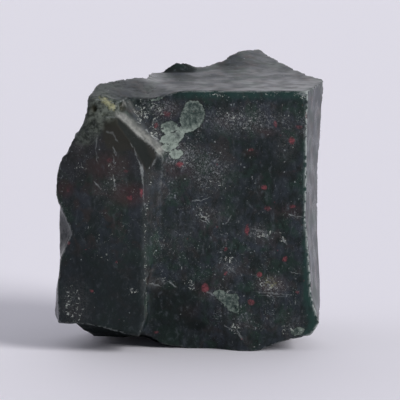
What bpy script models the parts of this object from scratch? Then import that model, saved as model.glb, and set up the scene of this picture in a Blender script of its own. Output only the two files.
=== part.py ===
"""A rough chunk of bloodstone (heliotrope): one block of dark green chalcedony, about 44 mm tall.

The block is what is left between a dozen broken surfaces. Each surface is a cutter, a closed solid whose
inner side is the break, and the stone is a plain block less all the cutters and less a few chips.
X runs along the front face, Y goes back from it and Z is up. While it is being cut, the stone has its
front face on Y = 0 and stands on Z = 0; at the end it is centred on the origin.
"""

import math

import bmesh
import bpy
from mathutils import Euler, Matrix, Vector, noise

MM = 0.001

# Driving dimensions.
FRONT_EDGE_HEIGHT = 39.6 * MM  # of the crisp edge where the front face meets the top
LOBE_PROUD = 1.8 * MM  # how far the left lobe stands out from the front face
LOBE_TOP_PROUD = 2.6 * MM  # the same near its top
RIGHT_FACET_DEPTH = 9.5 * MM  # from the front face back to where the right side turns away
LUMP_HEIGHT = 1.1 * MM  # of the blunt lump at the back over the top surface it stands on
LEDGE_DEPTH = 3.1 * MM  # of the step down the left of the back
BLOCK_LOW = Vector((-23, -7, -2)) * MM
BLOCK_HIGH = Vector((24, 33, 48)) * MM
REACH = 30 * MM  # how far a cutter goes on outwards from its broken side

# Edges of the front, as (height, X) in millimetres from the bottom up.
LEFT_EDGE = (
    (-2, -18.9), (4.5, -19.2), (9, -19.5), (12, -19.25), (14.5, -19.2), (22, -19.2), (24.6, -19.75),
    (27, -19.55), (29.0, -19.0), (30.2, -18.4), (30.8, -17.6), (31.8, -17.3), (33.2, -16.5), (34.8, -15.5),
    (35.8, -15.15), (37, -14.95), (39.4, -14.65), (48, -14.4),
)  # fmt: skip
RIGHT_EDGE = (
    (-2, 20.1), (2.5, 20.1), (4.2, 19.95), (5.4, 19.7), (7.0, 19.2), (8.6, 18.7), (12.6, 18.5),
    (18.6, 17.95), (21, 17.7), (23, 17.85), (33, 17.85), (39.6, 18.0), (48, 18.1),
)  # fmt: skip
# The lobe's rim, where it steps back to the front face, and the crease that runs down the lobe inside it.
LOBE_EDGE = (
    (-2, -7.4), (3.0, -7.2), (4.0, -6.5), (6.0, -6.2), (9.0, -6.5), (13, -6.5), (20, -6.4), (23, -6.1),
    (25, -5.7), (27, -5.25), (28.6, -4.9), (29.6, -4.75), (30.4, -5.0), (31.0, -5.6), (32.2, -7.0),
    (33.0, -7.9), (34.0, -8.7), (34.9, -9.5), (36.6, -10.2), (38.4, -10.9), (48, -12.0),
)  # fmt: skip
LOBE_CREASE = (
    (-2, -7.6), (5.4, -6.75), (9, -6.9), (16, -6.85), (22, -6.8), (26.5, -6.7), (29, -7.1), (31.5, -7.9),
    (33.5, -9.4), (35, -10.4), (48, -13),
)  # fmt: skip
# How wide the side of the lobe's step looks from the front, as (height, width): it opens into a slope.
LOBE_STEP_SLOPE = (
    (-2, 0.3), (8, 0.3), (11, 0.9), (15, 2.2), (22, 2.6), (26, 2.2), (28.5, 1.7), (30.2, 2.0),
    (32, 2.5), (35, 2.6), (38, 2.0), (48, 1.6),
)  # fmt: skip
# How fast the left side spreads outwards as it goes back, as (height, slope).
LEFT_FLARE = (
    (0, 0.12), (4, 0.15), (8, 0.1), (13, 0.01), (19, 0.02), (24, -0.06), (35, -0.12), (39, -0.2), (48, -0.25),
)  # fmt: skip
# The outer edge of the right facet, as (height, X).
RIGHT_BACK_EDGE = (
    (-2, 20.4), (3, 20.6), (9.5, 20.6), (17, 20.0), (23, 19.95), (27, 19.95), (31, 20.2), (36, 20.5),
    (41, 20.9), (48, 21.2),
)  # fmt: skip
# How far the underside is off the ground along the front, as (X, height).
UNDERSIDE = (
    (-24, 4.4), (-19, 4.4), (-15.4, 4.4), (-12.7, 4.1), (-10.4, 3.35), (-7.6, 2.7), (-5.7, 1.9), (-1.2, 1.25),
    (2, 0.55), (5, 0.05), (9.5, -0.05), (11.5, 0.4), (12.9, 1.1), (15, 1.85), (18, 2.1), (19.3, 2.7),
    (19.8, 4.2), (24, 9),
)  # fmt: skip


def along(stations, t):
    """The value at t, in metres like t, on a line through stations given in millimetres."""
    t = t / MM
    if t <= stations[0][0]:
        return stations[0][1] * MM
    for (t0, v0), (t1, v1) in zip(stations, stations[1:]):
        if t <= t1:
            return (v0 + (v1 - v0) * (t - t0) / (t1 - t0)) * MM
    return stations[-1][1] * MM


def ease(low, high, t):
    """0 below low, 1 above high, and a smooth rise between them."""
    s = min(max((t - low) / (high - low), 0.0), 1.0)
    return s * s * (3 - 2 * s)


def rough(point, height, spacing, seed=0.0):
    """Broken-stone unevenness at a point: bumps of about that height and spacing."""
    return height * noise.fractal(point / spacing + Vector((seed, 0, 0)), 0.9, 2.1, 3)


def steps(low, high, cell):
    """Evenly spaced values from low to high, about a cell apart."""
    count = max(2, round((high - low) / cell))
    return [low + (high - low) * i / count for i in range(count + 1)]


def block_steps(axis, cell):
    """Steps across the whole block along one axis, and a little past it at both ends."""
    return steps(BLOCK_LOW[axis] - MM, BLOCK_HIGH[axis] + MM, cell)


def cutter(name, point_at, across, upward, outward):
    """The closed solid on the outward side of the broken surface that point_at(a, b) describes."""
    mesh = bmesh.new()
    rows = [[mesh.verts.new(point_at(a, b)) for a in across] for b in upward]
    for low, high in zip(rows, rows[1:]):
        for i in range(len(across) - 1):
            mesh.faces.new((low[i], low[i + 1], high[i + 1], high[i]))
    grown = bmesh.ops.extrude_face_region(mesh, geom=mesh.faces[:], use_keep_orig=True)
    moved = [v for v in grown["geom"] if isinstance(v, bmesh.types.BMVert)]
    bmesh.ops.translate(mesh, verts=moved, vec=Vector(outward) * REACH)
    bmesh.ops.triangulate(mesh, faces=mesh.faces[:])
    bmesh.ops.recalc_face_normals(mesh, faces=mesh.faces[:])
    return guide(name, mesh)


def guide(name, mesh):
    """A mesh made into an object that only cuts the stone."""
    data = bpy.data.meshes.new(name)
    mesh.to_mesh(data)
    mesh.free()
    made = bpy.data.objects.new(name, data)
    made.hide_render = True
    made.display_type = "WIRE"
    bpy.context.scene.collection.objects.link(made)
    return made


def facet(name, origin, outward, relief, cell=2.2 * MM, half_width=30 * MM, half_height=34 * MM):
    """A cutter on a slanting plane through origin, shaped by relief(a, b) along its outward normal."""
    normal = Vector(outward).normalized()
    side = Vector((0, 0, 1)).cross(normal).normalized()
    rise = normal.cross(side)
    origin = Vector(origin) * MM

    def point_at(a, b):
        return origin + side * a + rise * b + normal * relief(a, b)

    across = steps(-half_width, half_width, cell)
    upward = steps(-half_height, half_height, cell)
    return cutter(name, point_at, across, upward, normal)


def scoop(name, centre, radii, turned=(0, 0, 0), segments=18, rings=11, bumps=0.12 * MM, spacing=1.3 * MM):
    """A bumpy ellipsoid that takes out a chip; its sizes are in millimetres, its turn in degrees."""
    mesh = bmesh.new()
    bmesh.ops.create_uvsphere(mesh, u_segments=segments, v_segments=rings, radius=1.0)
    turn = Euler([math.radians(t) for t in turned]).to_matrix().to_4x4()
    size = Matrix.Diagonal((*(Vector(radii) * MM), 1.0))
    place = Matrix.Translation(Vector(centre) * MM)
    bmesh.ops.transform(mesh, matrix=place @ turn @ size, verts=mesh.verts)
    for v in mesh.verts:
        v.co += Vector((1, 1, 1)) * rough(v.co, bumps, spacing)
    return guide(name, mesh)


def proud(z):
    """How far the lobe stands out from the front face at a height."""
    return LOBE_PROUD + ease(27 * MM, 33 * MM, z) * (LOBE_TOP_PROUD - LOBE_PROUD)


def lobe_face(x, z):
    """Y of the lobe's broken front: nearly flat, bent back right of its crease, at its left and at its top."""
    left = ease(-13 * MM, -20 * MM, x) * 1.2 * MM
    past_crease = min(max(0.0, x - along(LOBE_CREASE, z)) * 0.55, 1.3 * MM)
    crusty_corner = ease(34.6 * MM, 37.6 * MM, z) * ease(-7.0 * MM, -10.5 * MM, x) * 1.2 * MM
    foot = ease(9 * MM, 3 * MM, z) * 0.3 * MM
    bumps = rough(Vector((x, 0, z)), 0.22 * MM, 5 * MM)
    return -proud(z) + left + past_crease + crusty_corner + foot + bumps


def cut_lobe_front():
    """The rows of points follow the crease, so that it stays one clean line."""

    def point_at(from_crease, z):
        x = along(LOBE_CREASE, z) + from_crease
        return Vector((x, lobe_face(x, z), z))

    left_part = [v - 18 * MM for v in steps(0, 18 * MM, 1.3 * MM)]
    right_part = [1.2 * MM, 2.4 * MM, 4 * MM, 16 * MM, 40 * MM]
    return cutter("lobe_front", point_at, left_part + right_part, block_steps(2, 1.3 * MM), (0, -1, 0))


def front_face(x, z):
    """Y of the main front face: sawn flat, with its top left corner and its lower left part leaning back."""
    corner = ease(2 * MM, -9 * MM, x) * ease(32 * MM, 39 * MM, z) * 1.0 * MM
    ragged = z + rough(Vector((x, 0, 0)), 1.1 * MM, 4 * MM, seed=29)
    undercut = ease(9.6 * MM, 8.2 * MM, ragged) * 0.5 * MM + ease(9 * MM, 1.5 * MM, ragged) * 1.7 * MM
    reach_right = ease(7 * MM, 1.5 * MM, x + (z - 5 * MM) * 0.35)
    foot = ease(4 * MM, 0 * MM, z) * 0.5 * MM
    return corner + undercut * reach_right + foot + rough(Vector((x, 0, z)), 0.10 * MM, 8 * MM, seed=7)


def cut_front_face():
    """Takes the stone back from the lobe's front to the main face, leaving the lobe's rim as a step."""
    lip = 2.4  # the step's slope is drawn out past the lobe's own front, to so many times its height

    def point_at(s, z):
        edge = along(LOBE_EDGE, z)
        slope = along(LOBE_STEP_SLOPE, z)
        if s < 0:
            return Vector((edge + slope * (1 - lip), -lip * proud(z), z))
        x = edge + slope + s * (BLOCK_HIGH.x + MM - edge - slope)
        return Vector((x, front_face(x, z), z))

    columns = 17
    across = [-1] + [i / columns for i in range(columns + 1)]
    return cutter("front_face", point_at, across, block_steps(2, 1.2 * MM), (0, -1, 0))


def cut_left_side():
    def point_at(y, z):
        back = y + LOBE_PROUD
        x = along(LEFT_EDGE, z) - along(LEFT_FLARE, z) / MM * back
        turned_away = ease(8 * MM, 16 * MM, y) * 3 * MM
        bumps = rough(Vector((0, y, z)), 0.15 * MM, 3 * MM, seed=3)
        return Vector((x + turned_away + bumps, y, z))

    return cutter("left_side", point_at, block_steps(1, 1.6 * MM), block_steps(2, 0.8 * MM), (-1, 0, 0))


def cut_right_facet():
    def point_at(y, z):
        front = along(RIGHT_EDGE, z)
        slope = (along(RIGHT_BACK_EDGE, z) - front) / RIGHT_FACET_DEPTH
        bumps = rough(Vector((0, y, z)), 0.06 * MM, 6 * MM, seed=5)
        return Vector((front + slope * y + bumps, y, z))

    return cutter("right_facet", point_at, block_steps(1, 3 * MM), block_steps(2, 1.4 * MM), (1, 0, 0))


def top_surface(x, y):
    """Z of the top: a hollow that sweeps up to the back, a facet and a shoulder on its left, and the lumps."""
    y_mm, x_mm = y / MM, x / MM
    sweep = FRONT_EDGE_HEIGHT / MM + 0.05 * y_mm + 0.0044 * y_mm * max(y_mm, 0)
    sweep += 0.28 * max(0.0, -4.5 - x_mm)
    sweep += 0.85 * ease(16, 24, y_mm) * ease(3.6, 7.0, x_mm) * ease(12.4, 8.2, x_mm)
    left_facet = 41.0 + 0.42 * (y_mm - 6) - 0.17 * (x_mm + 10.3)
    shoulder = 39.75 + 0.28 * x_mm + 0.26 * y_mm
    crest = 41.0 + 0.05 * (x_mm + 10.3)
    left = min(max(left_facet, shoulder), crest + 0.5 * max(0.0, y_mm - 9))
    lump = LUMP_HEIGHT / MM * ease(15.2, 16.1, y_mm) * ease(0.8, -0.8, x_mm)
    lump *= 1 + 0.45 * ease(-2.2, -3.6, x_mm)
    return (min(sweep, left) + lump) * MM + rough(Vector((x, y, 0)), 0.10 * MM, 6 * MM, seed=11)


def cut_top():
    def point_at(x, y):
        return Vector((x, y, top_surface(x, y)))

    return cutter("top", point_at, block_steps(0, 1.4 * MM), block_steps(1, 1.1 * MM), (0, 0, 1))


def underside(x, y):
    """Z of the underside: off the ground all round, and reaching just below it in the middle."""
    front = along(UNDERSIDE, x)
    belly = ease(2 * MM, 7 * MM, y) * ease(-5 * MM, -8 * MM, x) * ease(-19 * MM, -14.5 * MM, x)
    front += belly * (1.0 * MM - front)
    from_middle = math.hypot((x - 5 * MM) / (12.5 * MM), (y - 12 * MM) / (10.5 * MM))
    inward = ease(1.2, 0.7, from_middle + rough(Vector((x, y, 0)), 0.34, 7 * MM, seed=31))
    back = ease(19 * MM, 29 * MM, y) * 2.4 * MM
    bumps = rough(Vector((x, y, 0)), 0.3 * MM, 5 * MM, seed=13)
    return (front + back) * (1 - inward) - inward * 0.4 * MM + bumps


def cut_underside():
    def point_at(x, y):
        return Vector((x, y, underside(x, y)))

    return cutter("underside", point_at, block_steps(0, 1.6 * MM), block_steps(1, 1.9 * MM), (0, 0, -1))


def cut_flat_spot():
    """The ground plane: what reaches below it is cut off level, which leaves the flat spot."""
    mesh = bmesh.new()
    bmesh.ops.create_cube(mesh, size=1.0)
    size = Vector((60, 60, 10)) * MM
    place = Matrix.Translation((0, 13 * MM, -size.z / 2)) @ Matrix.Diagonal((*size, 1.0))
    bmesh.ops.transform(mesh, matrix=place, verts=mesh.verts)
    return guide("flat_spot", mesh)


def shell(a, b, centre, radius, depth, ripple=0.0, ripple_spacing=3 * MM):
    """The hollow of a shell-like break: a shallow bowl with rings about the point it was struck at."""
    away = math.hypot(a - centre[0] * MM, b - centre[1] * MM)
    bowl = -depth * max(0.0, 1 - (away / radius) ** 2)
    rings = ripple * math.cos(2 * math.pi * away / ripple_spacing) * math.exp(-away / radius)
    return bowl + rings


def cut_back():
    """The three breaks that nobody sees from the front. Going left, a runs to +30 mm on each of them."""

    def right_back(a, b):
        bulge = ease(6 * MM, 18 * MM, b) * ease(4 * MM, -4 * MM, a) * ease(-20 * MM, -12 * MM, a) * 0.9 * MM
        bowl = shell(a, b, (-14, -6), 16 * MM, 1.9 * MM, 0.10 * MM, 4.5 * MM)
        return bowl + bulge + rough(Vector((a, b, 0)), 0.3 * MM, 7 * MM, seed=17)

    def back(a, b):
        bowl = shell(a, b, (3, -4), 18 * MM, 1.6 * MM, 0.12 * MM, 4.0 * MM)
        return bowl + rough(Vector((a, b, 0)), 0.45 * MM, 8 * MM, seed=19)

    def left_back(a, b):
        wander = 0.3 * (b - 11 * MM) + rough(Vector((0, 0, b)), 1.4 * MM, 7 * MM, seed=37)
        ledge = ease(-6.5 * MM, -9.5 * MM, a - wander) * LEDGE_DEPTH
        behind_lump = ease(-14.5 * MM, -19.5 * MM, a) * -1.5 * MM + ease(-22 * MM, -28 * MM, a) * 1.2 * MM
        bowl = shell(a, b, (6, -14), 14 * MM, 1.2 * MM, 0.10 * MM, 3.6 * MM)
        return ledge + behind_lump + bowl + rough(Vector((a, b, 0)), 0.25 * MM, 6 * MM, seed=23)

    return [
        facet("right_back", (20.8, 9.3, 22), (0.88, 0.46, 0.0), right_back),
        facet("back", (9, 28.6, 20), (-0.12, 0.98, 0.05), back),
        facet("left_back", (-12.5, 7.8, 30), (-0.63, 0.73, 0.27), left_back, 1.9 * MM, 38 * MM),
    ]


def scar(name, x, z, half_width, half_height, depth, turned=0, segments=16, rings=11):
    """A shallow flake out of the front face: a bumpy ellipsoid that only just reaches into it."""
    radius = 1.3
    spread = math.sqrt(1 - (1 - depth / radius) ** 2)
    radii = (half_width / spread, radius, half_height / spread)
    centre = (x, depth - radius, z)
    return scoop(name, centre, radii, (0, turned, 0), segments, rings, 0.26 * MM, 0.9 * MM)


def wedge(name, tip, reach, spread, depth, turned=(0, 0, 0)):
    """A four-sided prism whose sharp side edge is at tip; it opens away from it by spread over reach."""
    mesh = bmesh.new()
    bmesh.ops.create_cube(mesh, size=math.sqrt(2))
    quarter = Matrix.Rotation(math.radians(45), 4, "Y")
    turn = Euler([math.radians(t) for t in turned]).to_matrix().to_4x4()
    size = Matrix.Diagonal((reach * MM, depth * MM / math.sqrt(2), spread * MM, 1.0))
    back_off = Matrix.Translation((-reach * MM, 0, 0))
    place = Matrix.Translation(Vector(tip) * MM) @ turn @ back_off @ size @ quarter
    bmesh.ops.transform(mesh, matrix=place, verts=mesh.verts)
    return guide(name, mesh)


def cut_chips():
    """Chips out of the edges and shallow scars on the front, placed in millimetres."""
    return [
        wedge("notch", (-17.3, -2.5, 18.4), 4.0, 9.0, 7.0),
        scar("scar_high", 1.0, 36.0, 1.9, 2.1, 0.45),
        scar("scar_mid", -2.8, 34.4, 1.4, 1.1, 0.55),
        scar("scar_low", -2.4, 32.3, 2.1, 1.2, 0.45, turned=-35),
        scar("scar_lowest", -1.4, 30.1, 1.0, 0.6, 0.35, turned=-20, segments=9, rings=7),
        scoop("ledge_bowl", (-4.9, -0.7, 10.9), (1.7, 1.2, 0.8), (0, 20, 0), segments=12, rings=8),
        scoop("foot_hollow", (0.8, 0.9, 3.2), (1.4, 1.8, 0.9), segments=10, rings=7),
        scar("bottom_chip", 6.5, 7.2, 1.2, 1.6, 0.6, turned=12, segments=7, rings=6),
        scoop("edge_chip_left", (4.6, -0.9, 40.2), (1.2, 1.25, 0.95), segments=8, rings=6),
        scoop("edge_chip_right", (18.3, -0.7, 40.1), (1.2, 1.1, 0.95), segments=8, rings=6),
        scoop("corner_pit", (-9.9, -2.2, 37.3), (0.55, 1.6, 0.75), segments=8, rings=6),
        scoop("right_edge_nick", (18.4, -0.7, 20.9), (0.8, 1.1, 1.4), segments=8, rings=6),
        scoop("lobe_foot_chip", (-17.6, -3.0, 3.8), (2.2, 1.6, 0.9), segments=8, rings=6),
        scoop("back_foot_chip", (17.0, 24.5, 0.0), (7.0, 4.0, 3.5), (0, 0, -55), segments=10, rings=7),
        scoop("left_back_chip", (-19.5, 12.0, 3.0), (4.0, 5.5, 3.6), (0, 0, -35), segments=10, rings=7),
    ]


def stone_material():
    """Dark green chalcedony with a waxy gloss."""
    material = bpy.data.materials.new("bloodstone")
    material.use_nodes = True
    shader = material.node_tree.nodes["Principled BSDF"]
    shader.inputs["Base Color"].default_value = (0.022, 0.030, 0.030, 1)
    shader.inputs["Roughness"].default_value = 0.42
    shader.inputs["Metallic"].default_value = 0.0
    return material


def uncut_block():
    mesh = bmesh.new()
    bmesh.ops.create_cube(mesh, size=1.0)
    size = BLOCK_HIGH - BLOCK_LOW
    place = Matrix.Translation((BLOCK_HIGH + BLOCK_LOW) / 2) @ Matrix.Diagonal((*size, 1.0))
    bmesh.ops.transform(mesh, matrix=place, verts=mesh.verts)
    data = bpy.data.meshes.new("bloodstone")
    mesh.to_mesh(data)
    mesh.free()
    block = bpy.data.objects.new("bloodstone", data)
    block.data.materials.append(stone_material())
    bpy.context.scene.collection.objects.link(block)
    return block


def take_away(block, cutters):
    for tool in cutters:
        cut = block.modifiers.new(tool.name, "BOOLEAN")
        cut.operation = "DIFFERENCE"
        cut.solver = "EXACT"
        cut.object = tool


def centre_on_origin(block, cutters):
    """Moves the stone and its cutters together, so that the stone's box is centred over the origin."""
    evaluated = block.evaluated_get(bpy.context.evaluated_depsgraph_get())
    corners = [Vector(c) for c in evaluated.bound_box]
    middle = (Vector(map(min, *corners)) + Vector(map(max, *corners))) / 2
    holder = bpy.data.objects.new("stone_frame", None)
    bpy.context.scene.collection.objects.link(holder)
    for piece in [block, *cutters]:
        piece.parent = holder
    holder.location = (-middle.x, -middle.y, 0)


def main():
    for old in list(bpy.data.objects):
        bpy.data.objects.remove(old)
    block = uncut_block()
    cutters = [
        cut_lobe_front(),
        cut_front_face(),
        cut_left_side(),
        cut_right_facet(),
        cut_top(),
        *cut_back(),
        cut_underside(),
        cut_flat_spot(),
        *cut_chips(),
    ]
    take_away(block, cutters)
    centre_on_origin(block, cutters)


main()
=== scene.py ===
"""The looks of a chunk of bloodstone: a fine surface over the CAD solid, its colours, a floor and light.

Lengths are in millimetres while the surface is worked on, in the CAD frame: X right along the flat front
face, Y back from it, Z up. Marks on the front are placed by their real X and Z. Colours are linear.
A mask is 1 where its thing is and 0 elsewhere: the broad ones are worked out at each point of the mesh, and
the material reads them as attributes.
"""

import math
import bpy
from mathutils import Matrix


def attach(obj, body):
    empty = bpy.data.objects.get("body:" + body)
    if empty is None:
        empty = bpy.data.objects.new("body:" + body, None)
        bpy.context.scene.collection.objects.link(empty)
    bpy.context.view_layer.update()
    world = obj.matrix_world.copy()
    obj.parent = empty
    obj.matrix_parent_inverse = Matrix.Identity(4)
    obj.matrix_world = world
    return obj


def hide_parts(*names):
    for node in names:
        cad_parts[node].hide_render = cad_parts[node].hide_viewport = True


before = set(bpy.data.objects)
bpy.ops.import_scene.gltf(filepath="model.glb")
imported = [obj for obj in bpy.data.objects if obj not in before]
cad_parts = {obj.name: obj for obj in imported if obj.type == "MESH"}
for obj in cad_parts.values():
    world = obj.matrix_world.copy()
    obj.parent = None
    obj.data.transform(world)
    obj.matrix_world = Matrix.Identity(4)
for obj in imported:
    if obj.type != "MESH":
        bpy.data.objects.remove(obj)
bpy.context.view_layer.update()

from types import SimpleNamespace

import bmesh
import bpy
import numpy as np
from mathutils import Vector, kdtree, noise

MM = 0.001

# ---------------------------------------------------------------- marks on the front, in millimetres
# Red jasper spots: X, Z, half width, half height, strength.
RED_SPOTS = (
    (15.44, 32.16, 0.42, 0.50, 1.0), (11.33, 25.10, 0.32, 0.36, 0.9), (8.81, 18.66, 0.30, 0.72, 1.0),
    (2.50, 9.82, 0.50, 0.62, 1.0), (10.70, 11.91, 0.40, 0.40, 1.0), (14.54, 14.25, 0.38, 0.40, 0.9),
    (5.59, 12.02, 0.24, 0.26, 0.8), (5.58, 15.77, 0.20, 0.24, 0.7), (9.44, 7.67, 0.50, 0.34, 0.7),
    (-1.33, 28.64, 0.52, 0.34, 1.0), (-4.83, 34.43, 0.30, 0.40, 0.7), (-3.18, 36.15, 0.50, 0.42, 0.5),
    (13.04, 34.65, 0.22, 0.50, 0.7), (17.75, 35.85, 0.24, 0.55, 0.9), (15.65, 22.23, 0.42, 0.24, 0.7),
    (11.89, 21.92, 0.50, 0.34, 0.5), (9.37, 30.75, 0.30, 0.26, 0.4), (16.49, 34.20, 0.50, 0.30, 0.4),
    (16.44, 9.21, 0.24, 0.24, 0.5), (-6.96, 24.56, 0.26, 0.60, 0.9), (-8.68, 23.81, 0.40, 0.36, 0.6),
    (-9.28, 27.80, 0.40, 0.26, 0.28), (-11.69, 29.50, 0.34, 0.30, 0.22),
    (-18.07, 16.89, 0.40, 0.26, 0.9), (-14.54, 9.62, 0.24, 0.24, 0.6), (-18.00, 24.86, 0.26, 0.40, 0.2),
    (-4.92, 2.60, 0.30, 0.24, 0.5),
)  # fmt: skip
# Pale strokes: X and Z of both ends, radius, strength.
PALE_STROKES = (
    (0.69, 23.10, 2.0, 23.15, 0.10, 0.8), (2.0, 23.15, 3.24, 23.66, 0.06, 0.6),
    (-13.45, 33.2, -13.75, 30.9, 0.10, 0.32), (-13.75, 30.9, -13.45, 28.9, 0.08, 0.30),
    (-11.9, 33.7, -11.2, 33.5, 0.20, 0.30), (-11.2, 33.5, -10.43, 32.2, 0.10, 0.28),
    (-11.1, 31.3, -10.7, 30.3, 0.16, 0.40), (-14.02, 26.21, -13.28, 25.46, 0.10, 0.6),
    (-11.2, 30.2, -11.0, 28.9, 0.06, 0.5), (-11.1, 26.9, -10.9, 25.2, 0.10, 0.5),
    (-3.08, 10.89, -1.88, 9.97, 0.10, 0.7), (2.5, 9.51, 5.06, 7.98, 0.14, 0.6),
    (4.70, 9.05, 4.80, 9.05, 0.13, 1.0), (5.52, 3.99, 6.58, 3.37, 0.10, 0.7),
    (7.34, 3.37, 8.1, 1.99, 0.14, 0.6), (10.04, 9.21, 15.33, 8.75, 0.07, 0.45),
    (10.6, 8.75, 15.0, 8.45, 0.05, 0.35), (1.74, 21.09, 2.4, 20.6, 0.09, 0.8),
    (2.4, 20.6, 3.24, 19.88, 0.08, 0.7), (1.9, 20.2, 3.0, 19.7, 0.07, 0.6),
    (5.65, 19.72, 6.4, 20.79, 0.09, 0.6), (15.1, 21.09, 16.2, 20.7, 0.09, 0.5),
    (16.2, 20.7, 17.51, 20.64, 0.07, 0.5), (15.31, 12.3, 16.82, 11.96, 0.08, 0.5),
    (9.5, 18.8, 11.2, 18.5, 0.14, 0.35), (11.2, 18.1, 12.0, 17.6, 0.12, 0.5),
    (14.2, 17.3, 14.7, 16.6, 0.14, 0.7), (-7.7, 34.9, -7.4, 34.8, 0.14, 0.9),
    (-6.3, 33.7, -6.1, 33.5, 0.15, 0.9), (-5.46, 33.0, -4.56, 32.4, 0.10, 0.9),
    (-4.8, 29.6, -5.4, 28.5, 0.14, 0.4), (1.8, 39.55, 3.3, 39.5, 0.10, 0.7),
    (5.1, 39.5, 5.4, 39.5, 0.16, 0.9), (8.8, 39.5, 11.0, 39.5, 0.09, 0.7),
    (16.6, 39.2, 17.9, 39.0, 0.26, 0.9), (-8.0, 31.2, -7.56, 29.5, 0.10, 0.35),
    (-7.56, 29.5, -6.96, 28.5, 0.14, 0.45), (-6.96, 28.5, -6.86, 27.2, 0.24, 0.7),
    (-6.86, 27.2, -6.73, 25.5, 0.10, 0.5), (-6.73, 25.4, -6.66, 23.2, 0.07, 0.4),
    (-6.66, 23.0, -6.45, 21.9, 0.06, 0.35), (5.6, 13.4, 6.9, 12.3, 0.14, 0.45),
    (11.3, 10.9, 13.6, 9.6, 0.10, 0.4), (-6.6, 11.3, -5.9, 10.6, 0.10, 0.6),
    (-5.9, 10.6, -4.3, 10.1, 0.10, 0.6), (-8.6, 32.0, -8.2, 31.5, 0.08, 0.4),
    (-12.0, 35.9, -11.0, 35.85, 0.16, 0.8),
)  # fmt: skip
# Flaked patches, one over another, each as the X and Z of its corners.
FLAKES = (
    ((-5.8, 38.5), (-5.2, 39.0), (-4.3, 39.0), (-3.8, 38.5), (-4.6, 38.1), (-5.5, 38.1)),
    ((-2.9, 30.3), (-2.2, 30.7), (-1.1, 30.7), (-0.8, 30.1), (-1.4, 29.5), (-2.3, 29.4)),
    (
        (-4.7, 30.7), (-4.1, 31.3), (-3.2, 31.8), (-2.2, 32.1), (-1.4, 31.9), (-1.7, 31.2), (-2.6, 30.7),
        (-3.5, 30.4), (-4.3, 30.3),
    ),
    (
        (-4.3, 32.1), (-3.8, 32.8), (-2.9, 33.3), (-1.9, 33.6), (-0.8, 33.4), (-0.7, 32.7), (-1.3, 32.1),
        (-2.3, 31.8), (-3.4, 31.6),
    ),
    (
        (-4.1, 34.3), (-3.5, 34.9), (-2.6, 35.1), (-1.7, 34.6), (-1.6, 33.9), (-2.3, 33.4), (-3.4, 33.3),
        (-4.0, 33.6),
    ),
    (
        (-0.4, 37.6), (0.2, 38.1), (1.3, 38.1), (2.0, 37.5), (2.5, 36.4), (2.3, 35.2), (1.6, 34.2),
        (0.5, 33.6), (-0.7, 33.3), (-1.6, 33.6), (-1.1, 34.5), (-1.3, 35.5), (-0.8, 36.7),
    ),
    ((3.7, 9.1), (4.6, 9.6), (5.9, 8.9), (7.5, 8.8), (7.5, 5.9), (6.3, 6.3), (5.1, 7.6), (4.2, 8.4)),
    ((15.6, 3.4), (16.7, 3.8), (17.5, 3.5), (17.3, 2.8), (16.3, 2.5), (15.6, 2.8)),
)  # fmt: skip
# The smooth olive dome of the lobe with its right flank, and the yellow streak in the crust above it.
DOME = (
    (-12.7, 34.9), (-12.3, 35.6), (-11.4, 36.0), (-10.3, 35.8), (-9.2, 34.9), (-8.2, 33.8), (-6.8, 32.5),
    (-5.4, 31.4), (-4.7, 30.7), (-4.9, 29.7), (-5.6, 28.5), (-6.2, 27.5), (-6.8, 28.6), (-7.5, 30.1),
    (-8.2, 31.1), (-9.1, 30.9), (-10.6, 30.7), (-12.1, 31.3), (-12.7, 32.8),
)  # fmt: skip
YELLOW = (
    (-13.3, 38.7), (-12.4, 38.7), (-11.3, 38.0), (-10.7, 37.4), (-10.9, 36.8), (-11.6, 36.9),
    (-12.4, 37.6), (-13.1, 38.2),
)  # fmt: skip

# The rest are soft patches, each as X, Z, half width, half height and strength.
# Dark pits in the crust, and its grey-green lumps.
PITS = (
    (-14.0, 37.2, 0.40, 0.6, 1.0), (-9.8, 37.3, 0.42, 0.65, 1.0), (-12.4, 36.4, 0.3, 0.3, 0.4),
)  # fmt: skip
LUMPY = (
    (-13.8, 35.4, 1.3, 2.0, 1.0), (-11.6, 37.0, 2.0, 1.0, 0.9), (-15.4, 32.8, 1.6, 1.1, 0.7),
)  # fmt: skip
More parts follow.
